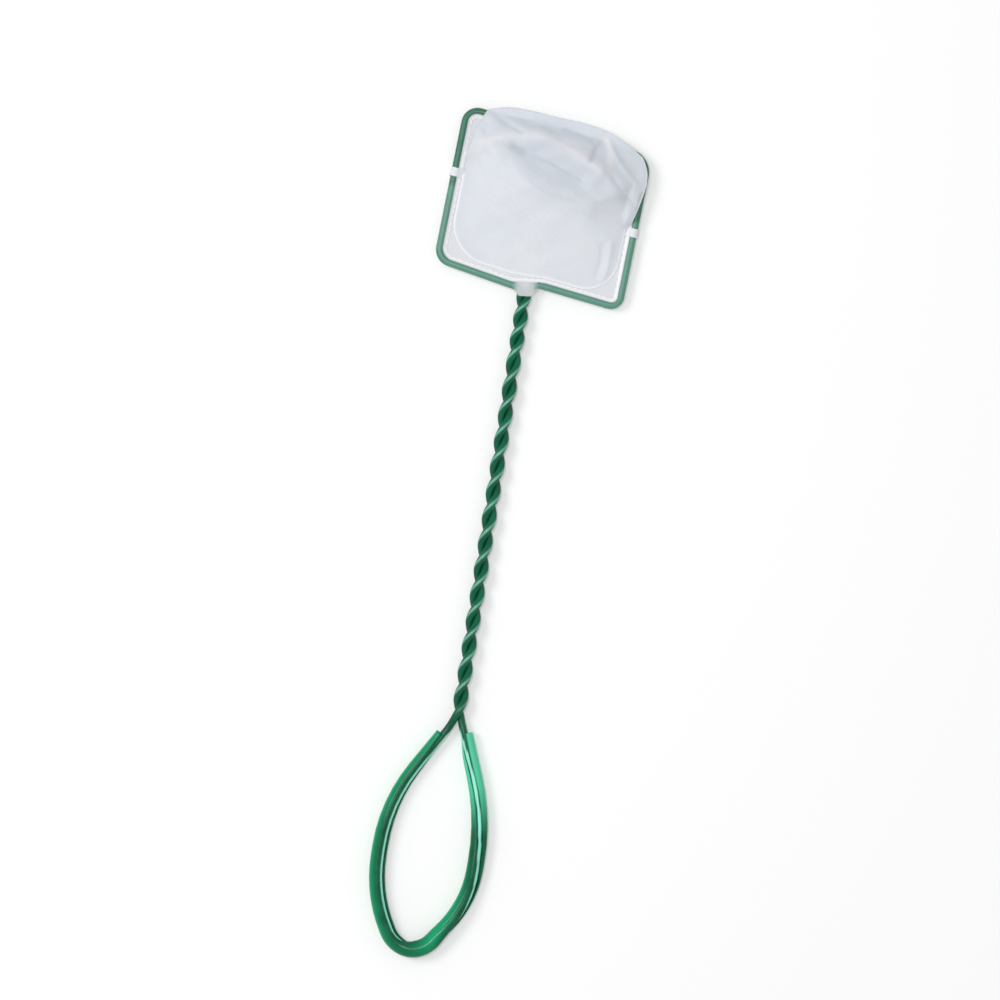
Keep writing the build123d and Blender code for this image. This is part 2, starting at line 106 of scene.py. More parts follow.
# Where the wire is painted pale: a painted highlight in the sleeve's slit and on the twist's crests, and
# paler under the hem
RUB_LENGTH = 3.0  # over which the painted highlight grows paler towards the sleeve
RUB_HALF = 25.0  # of the painted highlight strip in the sleeve's slit
RUB_EDGE = 7.0
HEM_RUB = (0.2, 0.06)  # how much paler the wire is painted under the near and the far hem, for the white netting over it
HANDLE_RUB = 0.42  # how strong the painted highlight is on the crests of the twist
CREST_PLACES = (2.88, 2.99)  # from the handle's middle
CREST_FADE = 9.0  # towards the lower end of the twist

# The grip sleeve, whose slit turns round the wire: the share of the loop from its left leg on, the slit's
# angle from straight up towards the inside of the loop, half its opening, and the sleeve's radius
SLEEVE_ROWS = (
    (0.0, 75.0, 85.0, 2.2),
    (0.045, 70.0, 78.0, 2.5),
    (0.1, 60.0, 40.0, 2.8),
    (0.25, 54.0, 35.0, 3.25),
    (0.45, 60.0, 34.0, 3.4),
    (0.485, 74.0, 30.0, 3.4),
    (0.525, 180.0, 20.0, 3.4),
    (0.57, 272.0, 30.0, 3.4),
    (0.63, 294.0, 32.0, 3.4),
    (0.78, 354.0, 28.0, 3.35),
    (0.92, 388.0, 36.0, 3.05),
    (0.965, 425.0, 78.0, 2.9),
    (1.0, 435.0, 85.0, 2.9),
)
SLEEVE_SHARES, SLIT_ANGLES, SLIT_OPENINGS, SLEEVE_RADII = zip(*SLEEVE_ROWS)
SLEEVE_EASE = 9  # steps over which these values are evened out
SLEEVE_BORE = WIRE_RADIUS + 0.12
SLEEVE_SETBACKS = (9.0, 7.0)
SLEEVE_STEP = 1.0
SLEEVE_OFFSET = 0.6  # of the sleeve's middle from the wire's, away from the slit
SKIN_COLUMNS = 73
BORE_COLUMNS = 33
BORE_SPREAD = 1.1  # how much wider the slit is at the bore
BORE_HALF_MOST = 88.0
SLIT_SINK = 0.35  # of the sleeve's skin towards the lips of its slit
SLIT_SINK_ANGLE = 30.0
LIP_RADIUS = 0.3
LIP_SHARE = 0.3  # of a lip's rounding, at its second point
STRETCH_SHARES = (0.76, 0.88)  # of the loop, where the sleeve grows paler, a painted broad light on its upper right leg
CLEAR_ANGLES = (60.0, 150.0)  # from the slit, between which the sleeve is painted lighter away from the wire, for light through its clear plastic
WRUNG_SHARE = 0.5  # of the loop, where the slit turns under the wire and the sleeve, left without its painted light, stays dark as painted shade
WRUNG_WIDTH = 0.038
WRUNG_DARK = 0.75

# The hem and the ends of the side seams
HEM_RADIUS = WIRE_RADIUS + 0.15
HEM_CLOSES = 2.6  # from the wire's middle to the row of stitches that closes the casing
HEM_WIDTH = 4.0
HEM_GAP = 0.12
HEM_CORNER_RADIUS = 14.0
VEIL_PLIES = (0.06, 0.03)  # over the wire, on the near and the far hem
CLOSED_PLIES = 4.0
STRIP_PLIES = 1.1
NECK_SAG = ((-FRAME_HALF, -6.5, 6.5, FRAME_HALF), (0.0, -2.27, 0.58, 0.0))  # of the near bar, by place
EDGE_SAG_SHARE = 0.5  # of that, at the hem's sewn edge
FLAP_MIDDLE = -0.9
FLAP_HALF = 5.4
FLAP_SLANT = 3.4
FLAP_REACH = 3.2
FLAP_OPENING = 3.3
FLAP_PLIES = 0.95
FLAP_FULLNESS = 1.6  # how soon round the wire the flap reaches out in full
SEAM_HALF = 1.75
SEAM_RADIUS = WIRE_RADIUS + 0.5
SEAM_CLOSES = 2.9
SEAM_STRIP = 4.4
SEAM_PLIES = 2.4
STITCH_LENGTH = 2.2
STITCH_PITCH = 2.5
STITCH_START = 0.3
STITCH_RADIUS = 0.16
STITCH_SIDES = 6
STITCH_TAPER = (0.35, 0.85, 1.0, 1.0, 1.0, 0.85, 0.35)  # of its radius
STITCH_LIFT = 0.6  # radii from the cloth to a stitch's middle

# How many columns of points each part of a hem has along the wire, and round it
SIDE_COLUMNS = 23
ARC_COLUMNS = 13
BAR_COLUMNS = 70
SEAM_COLUMNS = 7
STRIP_COLUMNS = 6
SLOPE_COLUMNS = 4
ROUND_COLUMNS = 19
MOUTH_COLUMNS = 3

# The bag's edges and its pillow
RIM_INSET = 3.3
RIM_RADIUS = 14.7
RIM_REST = 0.45
RIM_OVER = 3.0
RIM_LEAVES = 41.7
RIM_CLIMB = 12.3
RIM_PLIES = 1.6  # more than the panel's own, where it is sewn to the hem
RIM_SEAM_WIDTH = 0.7
BULGE_ACROSS = 31.0  # from where, and over how far, the bag climbs over the right bar
BULGE_WIDTH = 4.0
BULGE_ALONG = 31.0
BULGE_CLIMB = 5.0
BAG_CROWN = 10.8
CROWN_PLACE = 47.8
CROWN_FALL = 20.7
PILLOW_POWER = 3.0
BAG_CORNERS = ((-29.2, 62.7), (35.2, 60.2))
LEFT_SEAM = ((RIM_INSET - FRAME_HALF, SEAM_PLACES[0]), (-34.0, 45.0), (-32.5, 55.0), BAG_CORNERS[0])
RIGHT_SEAM = (
    (FRAME_HALF - RIM_INSET, SEAM_PLACES[1]), (36.2, 34.8), (38.0, 44.5),
    (38.7, 50.0), (38.0, 55.8), BAG_CORNERS[1],
)
END_LINE = (
    BAG_CORNERS[0], (-21.3, 65.9), (-12.2, 66.7), (-1.0, 66.8),
    (10.1, 67.5), (19.5, 66.8), (30.4, 62.8), BAG_CORNERS[1],
)
LIP_LINE = (
    (-34.0, 46.0), (-24.0, 54.0), (-17.0, 51.5), (-13.0, 43.5), (-6.0, 37.6),
    (6.0, 35.6), (18.2, 36.9), (28.8, 45.8), (36.0, 50.0),
)
NEAR_STEPS = 120
FAR_COLUMNS = 96
FAR_ROWS = 72
ROLL_STEPS = 160
ROLL_RADIUS = 0.28
ROLL_SIDES = 8
ROLL_SINK = 0.1

# The bag's waves: seed, longest and shortest, and how their height grows away from the near hem
WAVE_COUNT = 14
NEAR_WAVES = (5, 17.0, 7.0)
WAVE_LEAST = 0.1
WAVE_GROWTH = 0.25
WAVE_FROM = 28.0
WAVE_CLIMB = 16.0
FAR_WAVES = (11, 15.0, 6.0)
FAR_WAVE_SHIFT = 40.0
FAR_WAVE_HEIGHT = 0.7

# The bag's folds: height, width and line. A height under 0 is a valley.
MAIN_FOLDS = (
    (1.6, 4.5, ((-31.0, 47.0), (-6.0, 58.0))),
    (1.6, 4.5, ((-6.0, 58.0), (20.0, 51.0))),
    (-2.4, 4.5, ((-16.0, 50.0), (12.0, 45.0))),
    (1.6, 4.5, ((-7.0, 38.0), (18.0, 36.0))),
    (1.6, 4.5, ((18.0, 36.0), (29.0, 46.0))),
)
FINE_FOLDS = (
    (0.7, 1.6, ((-34.0, 46.0), (-22.8, 54.4), (-5.1, 58.6), (8.1, 55.8), (19.5, 50.7))),
    (-0.6, 1.1, ((-15.7, 50.2), (-2.0, 48.5), (12.4, 44.7))),
    (-0.6, 1.3, ((2.4, 63.2), (17.1, 62.3), (15.0, 52.3))),
    (0.9, 1.4, ((20.0, 64.0), (26.0, 56.0), (34.0, 50.0))),
    (-0.9, 1.4, ((24.0, 50.0), (30.0, 45.0), (36.0, 42.0))),
    (-0.9, 1.1, ((-28.0, 62.0), (-21.0, 59.0), (-14.0, 57.0))),
    (-0.8, 1.0, ((-26.5, 63.5), (-19.0, 63.0), (-11.0, 64.0))),
    (-0.9, 1.2, ((-30.0, 58.0), (-27.5, 52.0), (-26.0, 44.0))),
    (0.8, 1.2, ((29.5, 8.0), (30.2, 15.0), (29.6, 24.0))),
    (-0.7, 1.1, ((26.6, 10.0), (27.2, 16.0), (26.4, 22.0))),
)
# Both kinds, with the power of a fold's flanks and the margin to the bag's edge in which it fades
FOLD_MARGIN = 7.0
FOLD_KINDS = ((MAIN_FOLDS, 2.0, FOLD_MARGIN), (FINE_FOLDS, 1.5, FOLD_MARGIN / 2))
# Pale folds, painted highlights where the cloth catches the light: width and line
PALE_FOLDS = (
    (2.3, ((-34.5, 45.1), (-22.8, 54.4), (-5.1, 59.2), (8.1, 55.8), (19.5, 50.7))),
    (1.5, ((20.0, 64.3), (22.7, 56.6), (22.8, 47.5))),
)
# Creases, greyed as painted shade: how strong, width and line
CREASES = (
    (0.65, 1.7, ((-16.8, 50.7), (-12.6, 49.5))),
    (0.4, 0.6, ((-14.0, 50.0), (-2.0, 48.5), (12.4, 44.7))),
    (0.4, 0.8, ((2.4, 63.2), (17.1, 62.3))),
    (0.55, 1.2, ((16.6, 61.0), (15.0, 53.3))),
    (0.35, 0.8, ((-28.0, 62.0), (-21.0, 59.0), (-14.0, 57.0))),
)

# The far panel: heights, and shares of its width and of its way from the hem to the lip and back
SEAM_BLEND = 0.16
BODY_MARGIN = 0.2
CLIMB_START = 0.3
CLIMB_LENGTH = 0.6
FAR_RISE = 1.2
FAR_LEAST = 0.3
LIP_PLACE = 0.5
LIP_WIDTH = 0.03
BAR_COVER = 2.3  # height at which it passes over the far bar, on its way back
BAR_START = 55.0
BAR_CLIMB = 3.0
BAR_SHARE = 0.1
PANEL_GAP = 0.45  # under the near panel, apart from where the two meet
END_TUCK = 0.02
SIDE_TUCK = 0.01

# The materials
CLOUD_ENDS = (0.3, 0.7)  # of the noise, where a colour is dark and light
CLOUD_SCALE = 140.0
SMEAR_SCALE = 420.0
ROUGHNESS_SPREAD = (0.8, 1.25)
SKIN_SCALE = 650.0
SKIN_DETAIL = 2.0
SKIN_BUMP = (0.25, 0.08 * MM)  # strength and depth, as in WEAVE_BUMP
COAT_GREENS = ((0.002, 0.085, 0.038), (0.003, 0.13, 0.06))  # dark and light, as in the others
# Pale mint painted on the wire: a painted highlight in the slit and on the twist's crests, and paler under
# the hem
COAT_RUBBED = (0.34, 0.88, 0.7)
COAT_ROUGHNESS = 0.24
COAT_GLOSS = 0.2
SLEEVE_GREENS = ((0.001, 0.078, 0.032), (0.003, 0.14, 0.062))
# Painted light: the sleeve's colour where light shines through its clear plastic
SLEEVE_CLEAR = (0.003, 0.36, 0.155)
# Painted broad light on the sleeve's upper right leg
SLEEVE_STRETCHED = (0.09, 0.6, 0.36)
SLEEVE_ROUGHNESS = 0.2
SLEEVE_GLOSS = 0.16
STEEL_GREYS = ((0.42, 0.42, 0.43), (0.6, 0.6, 0.61))
STEEL_SCALE = 900.0
STEEL_ROUGHNESS = 0.35
WEAVE_PITCH = 0.45
WEAVE_BUMP = (0.3, 0.05 * MM)
THREAD_EDGES = (0.62, 0.86)  # of a thread's height, from a hole to the thread
HOLE_LIGHT = 0.5  # that comes through a hole of the netting
THREAD_LIGHT = 0.22
CLOTH_SCALE = 90.0
CLOTH_ROUGHNESS = 0.6
CLOTH_GLOSS = 0.2
# The pale one is the sewn rim's own, and a painted highlight on folds and on the far panel's lip
BAG_COLOURS = ((0.765, 0.81, 0.88), (0.82, 0.855, 0.91), (0.92, 0.928, 0.965))  # dark, light and pale
HEM_COLOURS = ((0.84, 0.855, 0.9), (0.88, 0.89, 0.93), (0.95, 0.96, 0.97))
# Painted shade: the grey laid in the bag's creases
BUNCHED = (0.52, 0.58, 0.64)
STITCH_WHITES = ((0.88, 0.89, 0.91), (0.95, 0.96, 0.97))
STITCH_SCALE = 2500.0

# The stage, in metres, degrees and watts, and the sensor in millimetres
CAMERA_ROLL = 8.9
CAMERA_AIM = (0.00104, 0.0138, 0.00345)
CAMERA_SPAN = 0.4
CAMERA_HEIGHT = 1.6
SENSOR = 36.0
FLOOR_SIZE = 6.0
FLOOR_COLOUR = (0.9, 0.9, 0.9, 1.0)
FLOOR_ROUGHNESS = 0.9
FLOOR_GLOW = 0.12
ROOM_LIGHT = 0.46
WHITE = (1.0, 1.0, 1.0, 1.0)
# Lamps: name, place, size and power
LAMPS = (
    ("key", (-1.2, 0.32, 1.36), 0.6, 9.0),
    ("top", (-0.2, 0.1, 1.9), 0.5, 13.0),
)


def heading(angle):
    """The level direction at an angle from X."""
    return np.array((cos(radians(angle)), sin(radians(angle)), 0.0))


def node_middle(node):
    """The middle of a CAD node's box, in millimetres."""
    low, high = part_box(node)
    return (np.array(low) + np.array(high)) / 2 / MM


ACROSS = heading(ACROSS_ANGLE)
ALONG = heading(ALONG_ANGLE)
UP = np.array((0.0, 0.0, 1.0))
SEAM_MIDDLE = (node_middle("side_seam_left") + node_middle("side_seam_right")) / 2


def in_frame(across, along, up):
    """Points of the net's frame, from places across and along it and up from the wire."""
    across, along, up = np.broadcast_arrays(across, along, up)
    middle = SEAM_MIDDLE + across[..., None] * ACROSS
    return middle + (along - SEAM_ALONG)[..., None] * ALONG + up[..., None] * UP


NECK = in_frame(0.0, 0.0, 0.0) - np.array((FRAME_SHIFT, 0.0, 0.0))


# Shapes from points


def smooth(share):
    """A smooth rise from 0 to 1."""
    held = np.clip(share, 0.0, 1.0)
    return held * held * (3 - 2 * held)


def band(distance, width, power=2.0):
    """A soft band: 1 at no distance, and falling off over a width."""
    return np.exp(-((distance / width) ** power))


def unit(vector):
    """A vector's direction."""
    return vector / np.linalg.norm(vector, axis=-1, keepdims=True)


def run_lengths(points):
    """How far along a line each of its points lies."""
    return np.concatenate(([0.0], np.cumsum(np.linalg.norm(np.diff(points, axis=0), axis=1))))


def at_lengths(points, places):
    """The points of a line at distances along it."""
    lengths = run_lengths(points)
    return np.stack([np.interp(places, lengths, axis) for axis in points.T], axis=1)


def resample(points, count):
    """A line in a count of even steps."""
    return at_lengths(points, np.linspace(0, run_lengths(points)[-1], count + 1))


def softened(points, rounds=3):
    """A line with its corners cut until it is smooth, between the same ends."""
    line = np.array(points, dtype=float)
    for _ in range(rounds):
        early = 0.75 * line[:-1] + 0.25 * line[1:]
        late = 0.25 * line[:-1] + 0.75 * line[1:]
        cut = np.stack((early, late), axis=1).reshape(-1, line.shape[1])
        line = np.concatenate((line[:1], cut[1:-1], line[-1:]))
    return line


def inner_half_angle(before, corner, after):
    """Half the angle between the two runs at a corner."""
    return acos(np.dot(unit(before - corner), unit(after - corner))) / 2


def rounded(corners, reaches):
    """A line through corners, each rounded by an arc from a reach before it to a reach past it."""
    points = [corners[0]]
    for before, corner, after, reach in zip(corners, corners[1:], corners[2:], reaches):
        back, on = unit(before - corner), unit(after - corner)
        half = inner_half_angle(before, corner, after)
        middle = corner + unit(back + on) * reach / cos(half)
        start, end = corner + back * reach - middle, corner + on * reach - middle
        turn = pi - 2 * half
        for share in np.linspace(0, 1, ceil(degrees(turn) / ARC_STEP) + 1):
            arm = start * sin(turn * (1 - share)) + end * sin(turn * share)
            points.append(middle + arm / sin(turn))
    points.append(corners[-1])
    return np.array(points)


def make_mesh(name, points, faces, material, uv=None, **values):
    """A smooth piece of the net, from points in millimetres, its weave by points or corners, and values."""
    mesh = bpy.data.meshes.new(name)
    mesh.from_pydata((np.reshape(points, (-1, 3)) * MM).tolist(), [], [list(face) for face in faces])
    mesh.materials.append(material)
    mesh.shade_smooth()
    if uv is not None:
        places = np.asarray(uv)
        if places.ndim == 2:
            corner_points = np.empty(len(mesh.loops), dtype=np.int32)
            mesh.loops.foreach_get("vertex_index", corner_points)
            places = places[corner_points]
        mesh.uv_layers.new(name="weave").data.foreach_set("uv", (places * MM).ravel())
    for label, value in values.items():
        layer = mesh.attributes.new(label, "FLOAT", "POINT")
        layer.data.foreach_set("value", np.asarray(value, dtype=np.float32).ravel())
    piece = bpy.data.objects.new(name, mesh)
    bpy.context.scene.collection.objects.link(piece)
    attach(piece, "root")
    return piece


def grid_faces(rows, columns, wrapped=False):
    """The four-sided faces of a grid of points, row by row, wrapped across if asked."""
    across = columns if wrapped else columns - 1
    row, column = np.meshgrid(np.arange(rows - 1), np.arange(across), indexing="ij")
    follow = (column + 1) % columns
    here, below = row * columns, (row + 1) * columns
    corners = (here + column, here + follow, below + follow, below + column)
    return np.stack(corners, axis=-1).reshape(-1, 4)


def tube(line, radius, sides):
    """Rings of points round a line, carried along it without twist."""
    ways = unit(np.gradient(line, axis=0))
    side = np.cross(UP, ways[0])
    rings = []
    angles = np.linspace(0, 2 * pi, sides, endpoint=False)
    for point, way in zip(line, ways):
        side = unit(side - way * np.dot(side, way))
        rise = np.cross(way, side)
        rings.append(point + radius * (np.cos(angles)[:, None] * side + np.sin(angles)[:, None] * rise))
    return np.array(rings)


def tube_faces(rings, sides):
    """The faces of a tube, with its two ends closed."""
    faces = grid_faces(rings, sides, wrapped=True).tolist()
    return faces + [list(range(sides))[::-1], list(range((rings - 1) * sides, rings * sides))]


# Materials


def new_material(name):
    """A material with its node collections and its Principled shader."""
    material = bpy.data.materials.new(name)
    material.use_nodes = True
    nodes = material.node_tree.nodes
    return material, nodes, material.node_tree.links, nodes["Principled BSDF"]


def noise(nodes, links, scale, detail=3.0):
    """A noise texture in the object's own space."""
    place = nodes.new("ShaderNodeTexCoord")
    texture = nodes.new("ShaderNodeTexNoise")
    texture.inputs["Scale"].default_value = scale
    texture.inputs["Detail"].default_value = detail
    links.new(place.outputs["Object"], texture.inputs["Vector"])
    return texture.outputs["Fac"]


def cloudy(nodes, links, scale, dark, light):
    """A cloudy blend of two colours."""
    blend = nodes.new("ShaderNodeValToRGB")
    for element, place, colour in zip(blend.color_ramp.elements, CLOUD_ENDS, (dark, light)):
        element.position = place
        element.color = (*colour, 1.0)
    links.new(noise(nodes, links, scale), blend.inputs["Fac"])
    return blend.outputs["Color"]


def bump(nodes, links, height, strength, distance):
    """A bump normal from a height."""
    node = nodes.new("ShaderNodeBump")
    node.inputs["Strength"].default_value = strength
    node.inputs["Distance"].default_value = distance
    links.new(height, node.inputs["Height"])
    return node.outputs["Normal"]


def math_node(nodes, links, operation, *values):
    """What an operation makes of values, each a socket or a number."""
    node = nodes.new("ShaderNodeMath")
    node.operation = operation
    for value, socket in zip(values, node.inputs):
        if isinstance(value, bpy.types.NodeSocket):
            links.new(value, socket)
        else:
            socket.default_value = value
    return node.outputs[0]


def attribute(nodes, name):
    """A value that a piece holds at its points."""
    node = nodes.new("ShaderNodeAttribute")
    node.attribute_name = name
    return node.outputs["Fac"]


def mixed(nodes, links, factor, base, colour):
    """A colour laid over another by a factor."""
    node = nodes.new("ShaderNodeMix")
    node.data_type = "RGBA"
    factor_input, base_input, colour_input = node.inputs[0], node.inputs[6], node.inputs[7]
    links.new(factor, factor_input)
    links.new(base, base_input)
    colour_input.default_value = (*colour, 1.0)
    return node.outputs[2]


def plastic_material(name, dark, light, roughness, gloss, **layers):
    """Glossy plastic, faintly cloudy and slightly uneven, with colours laid on by a piece's own values."""
    material, nodes, links, shader = new_material(name)
    colour = cloudy(nodes, links, CLOUD_SCALE, dark, light)
    for value, layer in layers.items():
        colour = mixed(nodes, links, attribute(nodes, value), colour, layer)
    links.new(colour, shader.inputs["Base Color"])
    rough = nodes.new("ShaderNodeMapRange")
    rough.inputs["To Min"].default_value = roughness * ROUGHNESS_SPREAD[0]
    rough.inputs["To Max"].default_value = roughness * ROUGHNESS_SPREAD[1]
    links.new(noise(nodes, links, SMEAR_SCALE), rough.inputs["Value"])
    links.new(rough.outputs["Result"], shader.inputs["Roughness"])
    shader.inputs["Specular IOR Level"].default_value = gloss
    skin = noise(nodes, links, SKIN_SCALE, SKIN_DETAIL)
    links.new(bump(nodes, links, skin, *SKIN_BUMP), shader.inputs["Normal"])
    return material


def steel_material():
    """Drawn steel wire."""
    material, nodes, links, shader = new_material("drawn_steel")
    colour = cloudy(nodes, links, STEEL_SCALE, *STEEL_GREYS)
    links.new(colour, shader.inputs["Base Color"])
    shader.inputs["Metallic"].default_value = 1.0
    shader.inputs["Roughness"].default_value = STEEL_ROUGHNESS
    return material


def netting_material(name, dark, light, pale):
    """Fine netting that covers more where it is sewn, paler on a fold as a painted highlight, and greyer in a
    crease as painted shade.
    """
    material, nodes, links, shader = new_material(name)
    place = nodes.new("ShaderNodeUVMap")
    place.uv_map = "weave"
    axes = nodes.new("ShaderNodeSeparateXYZ")
    links.new(place.outputs["UV"], axes.inputs[0])
    threads = []
    for axis in ("X", "Y"):
        turn = math_node(nodes, links, "MULTIPLY", axes.outputs[axis], 2 * pi / (WEAVE_PITCH * MM))
        wave = math_node(nodes, links, "COSINE", turn)
        threads.append(math_node(nodes, links, "MULTIPLY_ADD", wave, 0.5, 0.5))
    height = math_node(nodes, links, "MAXIMUM", *threads)
    gaps = nodes.new("ShaderNodeMapRange")
    gaps.interpolation_type = "SMOOTHSTEP"
    gaps.inputs["From Min"].default_value = THREAD_EDGES[0]
    gaps.inputs["From Max"].default_value = THREAD_EDGES[1]
    gaps.inputs["To Min"].default_value = HOLE_LIGHT
    gaps.inputs["To Max"].default_value = THREAD_LIGHT
    links.new(height, gaps.inputs["Value"])
    through = math_node(nodes, links, "POWER", gaps.outputs["Result"], attribute(nodes, "plies"))
    links.new(math_node(nodes, links, "SUBTRACT", 1.0, through), shader.inputs["Alpha"])
    colour = cloudy(nodes, links, CLOTH_SCALE, dark, light)
    # Paler by the pale value: the sewn rim's own, and a painted highlight on folds and on the far panel's lip
    colour = mixed(nodes, links, attribute(nodes, "pale"), colour, pale)
    links.new(mixed(nodes, links, attribute(nodes, "bunched"), colour, BUNCHED), shader.inputs["Base Color"])
    links.new(bump(nodes, links, height, *WEAVE_BUMP), shader.inputs["Normal"])
    shader.inputs["Roughness"].default_value = CLOTH_ROUGHNESS
    shader.inputs["Specular IOR Level"].default_value = CLOTH_GLOSS
    return material


def thread_material():
    """White sewing thread."""
    material, nodes, links, shader = new_material("sewing_thread")
    colour = cloudy(nodes, links, STITCH_SCALE, *STITCH_WHITES)
    links.new(colour, shader.inputs["Base Color"])
    shader.inputs["Roughness"].default_value = CLOTH_ROUGHNESS
    return material


# The coat's painted pale and the sleeve's painted light are laid on by each piece's own values
coat_material = plastic_material("coat_green", *COAT_GREENS, COAT_ROUGHNESS, COAT_GLOSS, rubbed=COAT_RUBBED)
sleeve_material = plastic_material(
    "sleeve_green", *SLEEVE_GREENS, SLEEVE_ROUGHNESS, SLEEVE_GLOSS,
    clear=SLEEVE_CLEAR, stretched=SLEEVE_STRETCHED,
)
bag_material = netting_material("bag_netting", *BAG_COLOURS)
hem_material = netting_material("hem_netting", *HEM_COLOURS)
stitch_material = thread_material()


# The coated wire


def strand(side):
    """One strand of the twisted handle, from the neck down to the hanging loop."""
    down = np.linspace(TWIST_TOP, TWIST_END, ceil((TWIST_END - TWIST_TOP) / WIRE_STEP) + 1)
    past = down - TWIST_TOP
    eased = np.where(past < TWIST_LEAD_IN, past**2 / (2 * TWIST_LEAD_IN), past - TWIST_LEAD_IN / 2)
    tight = TIGHT_TURNS * eased / (TIGHT_END - TWIST_TOP - TWIST_LEAD_IN / 2)
    turns = np.where(down < TIGHT_END, tight, TIGHT_TURNS + (down - TIGHT_END) / TWIST_PITCH)
    turn = 2 * pi * (turns + TOP_TURN)
    reach = side * STRAND_RADIUS
    return NECK + np.stack((reach * np.cos(turn), -down, reach * np.sin(turn)), axis=1)


def frame_wire():
    """The wire round the net's mouth, from the left side of the handle's top to the right side."""
    places = [(-FRAME_HALF, 0.0), (-FRAME_HALF, FRAME_REACH), (FRAME_HALF, FRAME_REACH), (FRAME_HALF, 0.0)]
    starts = [(-STRAND_RADIUS, -TWIST_TOP, 0.0), (-STRAND_RADIUS, -NECK_LEFT_DROP, 0.0)]
    ends = [(STRAND_RADIUS, NECK_RIGHT_RISE, 0.0), (STRAND_RADIUS, -TWIST_TOP, 0.0)]
    corners = [NECK + np.array(place) for place in starts]
    corners += [in_frame(across, along, 0.0) for across, along in places]
    corners += [NECK + np.array(place) for place in ends]
    radii = [NECK_RADII[0], NEAR_RADII[0], *FAR_RADII, NEAR_RADII[1], NECK_RADII[1]]
    angles = [inner_half_angle(*corner) for corner in zip(corners, corners[1:], corners[2:])]
    return rounded(corners, [radius / tan(angle) for radius, angle in zip(radii, angles)])


def leg_knee(points):
    """Where a strand comes straight on from the end of the twist to the frame's level."""
    way = unit(points[-1] - points[-2])
    return points[-1] + way * ((NECK[2] - points[-1][2]) / way[2])


def loop_wire(left, right):
    """The wire round the hanging loop, from the end of one strand to the end of the other."""
    shoulder = -TWIST_END - LEG_DROP
    hip = shoulder - SIDE_DROP
    crown = hip - CROWN_DROP
    places = [(LOOP_LEFT, shoulder), (LOOP_LEFT, hip), (CROWN_SHIFT, crown)]
    places += [(LOOP_RIGHT, hip), (LOOP_RIGHT, shoulder)]
    corners = [left[-1], leg_knee(left)]
    corners += [NECK + np.array((across, along, 0.0)) for across, along in places]
    corners += [leg_knee(right), right[-1]]
    slope = min(atan2(CROWN_SHIFT - LOOP_LEFT, CROWN_DROP), atan2(LOOP_RIGHT - CROWN_SHIFT, CROWN_DROP))
    lower = CROWN_DROP / cos(slope)
    knee_bend = KNEE_SHARE * np.linalg.norm(corners[1] - corners[0])
    bends = [knee_bend, BEND_SHARE * SIDE_DROP, BEND_SHARE * min(SIDE_DROP, lower)]
    return rounded(corners, bends + [CROWN_BEND_SHARE * lower] + bends[::-1])


def loop_ways(loop, places):
    """The directions inwards and up, square to the loop, at distances along it."""
    ways = unit(at_lengths(loop, places + WAY_STEP) - at_lengths(loop, places - WAY_STEP))
    inward = unit(np.cross(UP, ways))
    return inward, np.cross(ways, inward)


def from_slit(inwards, upwards, slit):
    """How many degrees round the wire places inwards and up from it lie from the slit."""
    angles = np.degrees(np.arctan2(inwards, upwards))
    return np.abs((angles - slit + 180) % 360 - 180)


def slit_rub(loop, places, rings):
    """How pale the wire's rings in the loop are painted, a painted highlight in a strip that the sleeve's
    slit leaves open.
    """
    length = run_lengths(loop)[-1]
    inward, rise = loop_ways(loop, places)
    arms = rings - at_lengths(loop, places)[:, None]
    slit = np.interp(places / length, SLEEVE_SHARES, SLIT_ANGLES)[:, None]
    away = from_slit(np.sum(arms * inward[:, None], axis=2), np.sum(arms * rise[:, None], axis=2), slit)
    from_ends = np.minimum(places - SLEEVE_SETBACKS[0], length - SLEEVE_SETBACKS[1] - places)
    return smooth((RUB_HALF - away) / RUB_EDGE + 0.5) * smooth(from_ends / RUB_LENGTH + 1)[:, None]


def make_wire(left, right, loop):
    """The coated wire and its core in one run, from the crown of the loop round the frame and back."""
    length = run_lengths(loop)[-1]
    half = (length - WIRE_END_GAP) / 2
    left_places = np.linspace(half, 0, ceil(half / WIRE_STEP) + 1)
    right_places = length - left_places[::-1]
    frame_run = frame_wire()
    frame_run = resample(frame_run, ceil(run_lengths(frame_run)[-1] / WIRE_STEP))[::-1]
    legs = at_lengths(loop, left_places), at_lengths(loop, right_places)
    line = np.concatenate((legs[0], left[::-1][1:-1], frame_run, right[1:-1], legs[1]))
    rings = tube(line, WIRE_RADIUS, WIRE_SIDES)
    from_middle = np.linalg.norm((rings - NECK)[..., [0, 2]], axis=2)
    # Painted highlight on the crests of the twist, fading towards its lower end
    rubbed = HANDLE_RUB * smooth((from_middle - CREST_PLACES[0]) / (CREST_PLACES[1] - CREST_PLACES[0]))
    rubbed = rubbed * smooth((TWIST_END + (rings - NECK)[..., 1]) / CREST_FADE)
    count = len(left_places)
    # Painted highlight on the wire where the sleeve's slit leaves it open
    rubbed[:count] = slit_rub(loop, left_places, rings[:count])
    rubbed[-count:] = slit_rub(loop, right_places, rings[-count:])
    first = count + len(left) - 2
    # Painted paler under the hem, for the white netting over the wire
    along = (frame_run - NECK) @ ALONG
    far_share = smooth((along - SEAM_ALONG) / WIRE_RADIUS + 0.5)
    hem_rub = HEM_RUB[0] + (HEM_RUB[1] - HEM_RUB[0]) * far_share
    rubbed[first : first + len(frame_run)] = hem_rub[:, None]
    faces = tube_faces(len(line), WIRE_SIDES)
    coat = make_mesh("wire_coat", rings, faces, coat_material, rubbed=rubbed)
    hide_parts("wire_coating")
    rings = tube(line, CORE_RADIUS, CORE_SIDES)
    faces = tube_faces(len(line), CORE_SIDES)
    core = make_mesh("steel_core", rings, faces, steel_material())
    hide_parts("wire_core")


# The grip sleeve


